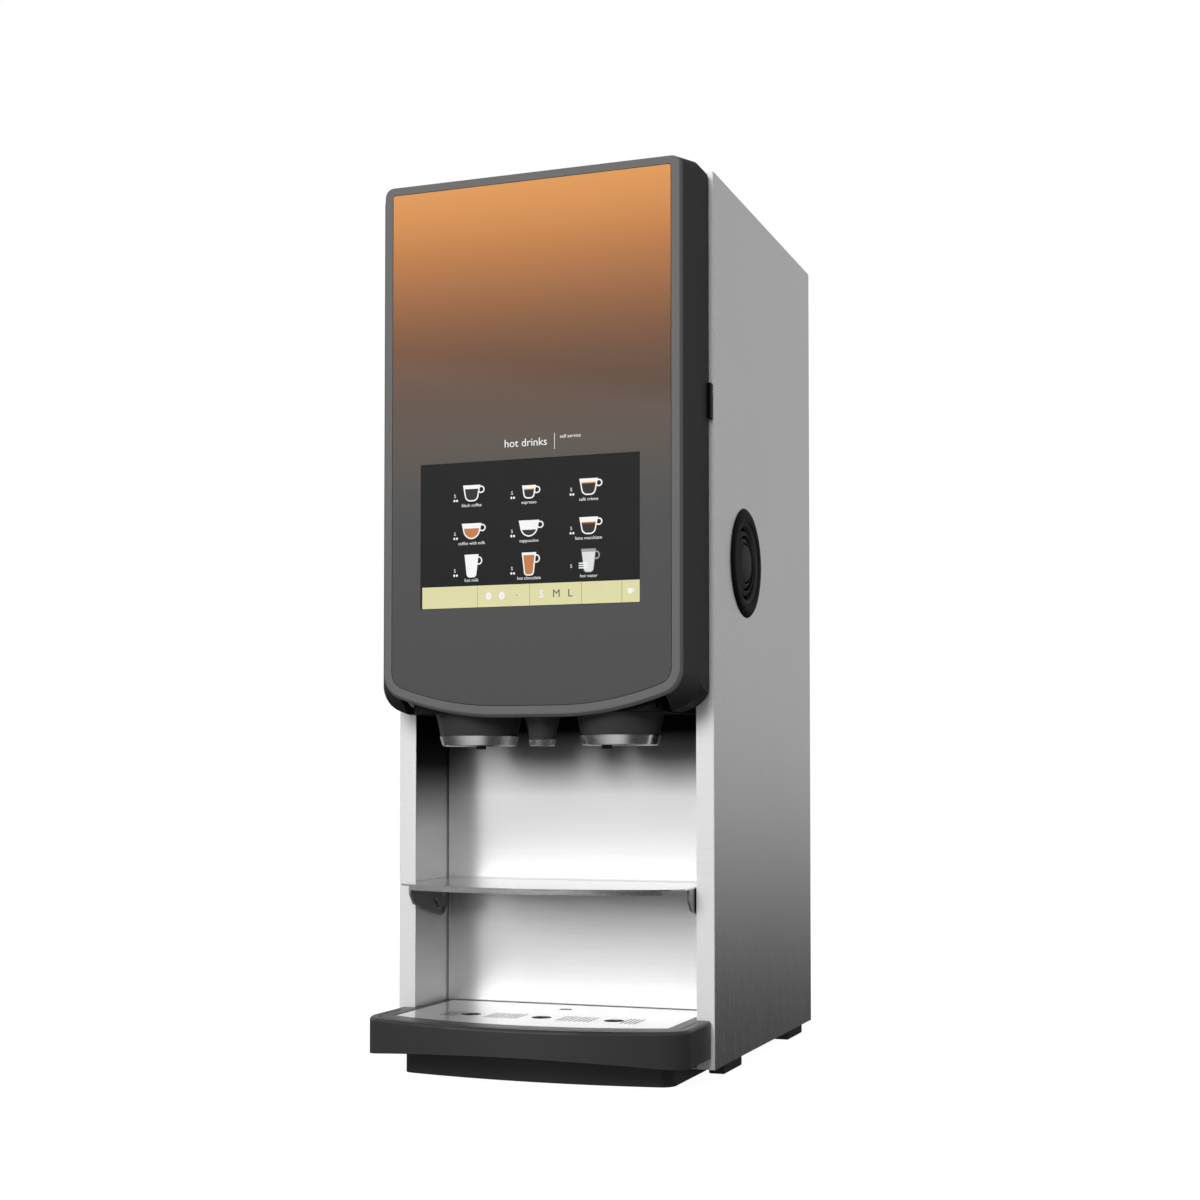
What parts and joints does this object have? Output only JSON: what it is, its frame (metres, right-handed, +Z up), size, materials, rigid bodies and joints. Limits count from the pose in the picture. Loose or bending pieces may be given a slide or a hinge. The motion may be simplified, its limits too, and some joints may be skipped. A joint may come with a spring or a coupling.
{
  "type": "hot drinks vending machine",
  "caption": "Table-top hot coffee vending machine with a hinged touch-screen door, canisters, mixers, boiler, fold-up cup shelf and drip tray.",
  "frame": {"origin": "on the floor, under the middle of the machine's bounding box", "axes": "+Z up; -Y is the front, with the door and the cup niche; +X is the right-hand side seen from the front, with the vent"},
  "size_m": [0.3382, 0.5212, 0.8805],
  "materials": {
    "brushed_panel": "vertical brushed stainless, satin",
    "bright_stainless": "fine brushed stainless, bright",
    "zinc_sheet": "plain galvanised sheet",
    "steel_hardware": "turned steel",
    "dark_steel": "darkened steel sheet",
    "foot_rubber": "moulded rubber",
    "black_moulding": "fine-textured moulding",
    "tray_moulding": "fine-textured dark grey moulding",
    "float_orange": "orange float",
    "bright_chrome": "polished plating",
    "door_moulding": "satin dark grey moulding",
    "printed_film": "printed graded film",
    "display_glass": "display glass over a metal can",
    "circuit_board": "solder-resist board",
    "canister_plastic": "natural moulded plastic",
    "canister_lid": "black moulded plastic",
    "auger_plastic": "white moulded plastic",
    "bowl_plastic": "frosted moulded plastic",
    "motor_case": "plated motor case",
    "silicone_hose": "silicone rubber hose",
    "vent_moulding": "satin black moulding",
    "boiler_lagging": "foam lagging",
    "valve_body": "moulded valve body and coil",
    "supply_case": "folded aluminium case"
  },
  "bodies": {
    "cabinet": {"side_panel_left": "brushed_panel", "side_panel_right": "brushed_panel", "top_cover": "brushed_panel", "rear_panel": "zinc_sheet", "screws": "steel_hardware", "base_pan": "zinc_sheet", "rubber_feet": "foot_rubber", "plinth": "black_moulding", "niche_liner": "bright_stainless", "shelf_pins": "steel_hardware", "dispense_head": "black_moulding", "drink_outlet_left": "black_moulding", "drink_outlet_right": "black_moulding", "hot_water_nozzle": "black_moulding", "nozzle_rings": "bright_chrome", "hinge_bracket_top": "steel_hardware", "hinge_bracket_bottom": "steel_hardware", "chassis_deck": "zinc_sheet", "mounting_wall": "zinc_sheet", "canister_shelf": "zinc_sheet", "mixer_bracket": "zinc_sheet", "canister_lids": "canister_lid", "auger_motors": "motor_case", "whipper_motors": "motor_case", "drink_hoses": "silicone_hose", "vent_cowl": "vent_moulding", "fan_housing": "black_moulding", "boiler_tank": "boiler_lagging", "water_valves": "valve_body", "control_board": "circuit_board", "power_supply": "supply_case", "mains_inlet": "black_moulding", "canister_left": "canister_plastic", "mixing_bowl_left": "bowl_plastic", "canister_middle": "canister_plastic", "mixing_bowl_middle": "bowl_plastic", "canister_right": "canister_plastic", "mixing_bowl_right": "bowl_plastic"},
    "door": {"door_shell": "door_moulding", "front_film": "printed_film", "touch_display": "display_glass", "display_board": "circuit_board", "door_inner_cover": "zinc_sheet", "door_catch": "black_moulding"},
    "shelf": {"cup_shelf": "bright_stainless", "shelf_ears": "dark_steel"},
    "tray": {"drip_tray": "tray_moulding"},
    "grate": {"tray_grate": "bright_stainless"},
    "float": {"tray_float": "float_orange"},
    "fan_rotor": {"fan_rotor": "black_moulding"},
    "power_rocker": {"power_rocker": "black_moulding"},
    "auger_left": {"auger_left": "auger_plastic"},
    "impeller_left": {"impeller_left": "auger_plastic"},
    "elbow_left": {"canister_elbow_left": "canister_lid"},
    "auger_middle": {"auger_middle": "auger_plastic"},
    "impeller_middle": {"impeller_middle": "auger_plastic"},
    "elbow_middle": {"canister_elbow_middle": "canister_lid"},
    "auger_right": {"auger_right": "auger_plastic"},
    "impeller_right": {"impeller_right": "auger_plastic"},
    "elbow_right": {"canister_elbow_right": "canister_lid"}
  },
  "joints": [
    {"name": "door_hinge", "type": "hinge", "parent": "cabinet", "child": "door", "pos_m": [-0.161, -0.1441, 0.6], "axis": [0, 0, -1], "range_deg": [0, 100]},
    {"name": "shelf_fold", "type": "hinge", "parent": "cabinet", "child": "shelf", "pos_m": [0, -0.0815, 0.17], "axis": [-1, 0, 0], "range_deg": [0, 90]},
    {"name": "tray_slide", "type": "slide", "parent": "cabinet", "child": "tray", "axis": [0, -1, 0], "range_m": [0, 0.16]},
    {"name": "grate_lift", "type": "slide", "parent": "tray", "child": "grate", "axis": [0, 0, 1], "range_m": [0, 0.03]},
    {"name": "float_rise", "type": "slide", "parent": "tray", "child": "float", "axis": [0, 0, 1], "range_m": [0, 0.008]},
    {"name": "fan_spin", "type": "hinge", "parent": "cabinet", "child": "fan_rotor", "pos_m": [0.15, -0.0216, 0.5105], "axis": [1, 0, 0], "continuous": true},
    {"name": "power_switch", "type": "hinge", "parent": "cabinet", "child": "power_rocker", "pos_m": [0.1, 0.2561, 0.076], "axis": [1, 0, 0], "range_deg": [-6, 6]},
    {"name": "auger_left_spin", "type": "hinge", "parent": "cabinet", "child": "auger_left", "pos_m": [-0.1, -0.0271, 0.632], "axis": [0, 1, 0], "continuous": true},
    {"name": "whipper_left_spin", "type": "hinge", "parent": "cabinet", "child": "impeller_left", "pos_m": [-0.1, -0.0471, 0.508], "axis": [0, 1, 0], "continuous": true},
    {"name": "elbow_left_turn", "type": "hinge", "parent": "cabinet", "child": "elbow_left", "pos_m": [-0.1, -0.1131, 0.632], "axis": [0, 1, 0], "range_deg": [0, 180]},
    {"name": "auger_middle_spin", "type": "hinge", "parent": "cabinet", "child": "auger_middle", "pos_m": [0, -0.0271, 0.632], "axis": [0, 1, 0], "continuous": true},
    {"name": "whipper_middle_spin", "type": "hinge", "parent": "cabinet", "child": "impeller_middle", "pos_m": [0, -0.0471, 0.508], "axis": [0, 1, 0], "continuous": true},
    {"name": "elbow_middle_turn", "type": "hinge", "parent": "cabinet", "child": "elbow_middle", "pos_m": [0, -0.1131, 0.632], "axis": [0, 1, 0], "range_deg": [0, 180]},
    {"name": "auger_right_spin", "type": "hinge", "parent": "cabinet", "child": "auger_right", "pos_m": [0.1, -0.0271, 0.632], "axis": [0, 1, 0], "continuous": true},
    {"name": "whipper_right_spin", "type": "hinge", "parent": "cabinet", "child": "impeller_right", "pos_m": [0.1, -0.0471, 0.508], "axis": [0, 1, 0], "continuous": true},
    {"name": "elbow_right_turn", "type": "hinge", "parent": "cabinet", "child": "elbow_right", "pos_m": [0.1, -0.1131, 0.632], "axis": [0, 1, 0], "range_deg": [0, 180]}
  ]
}
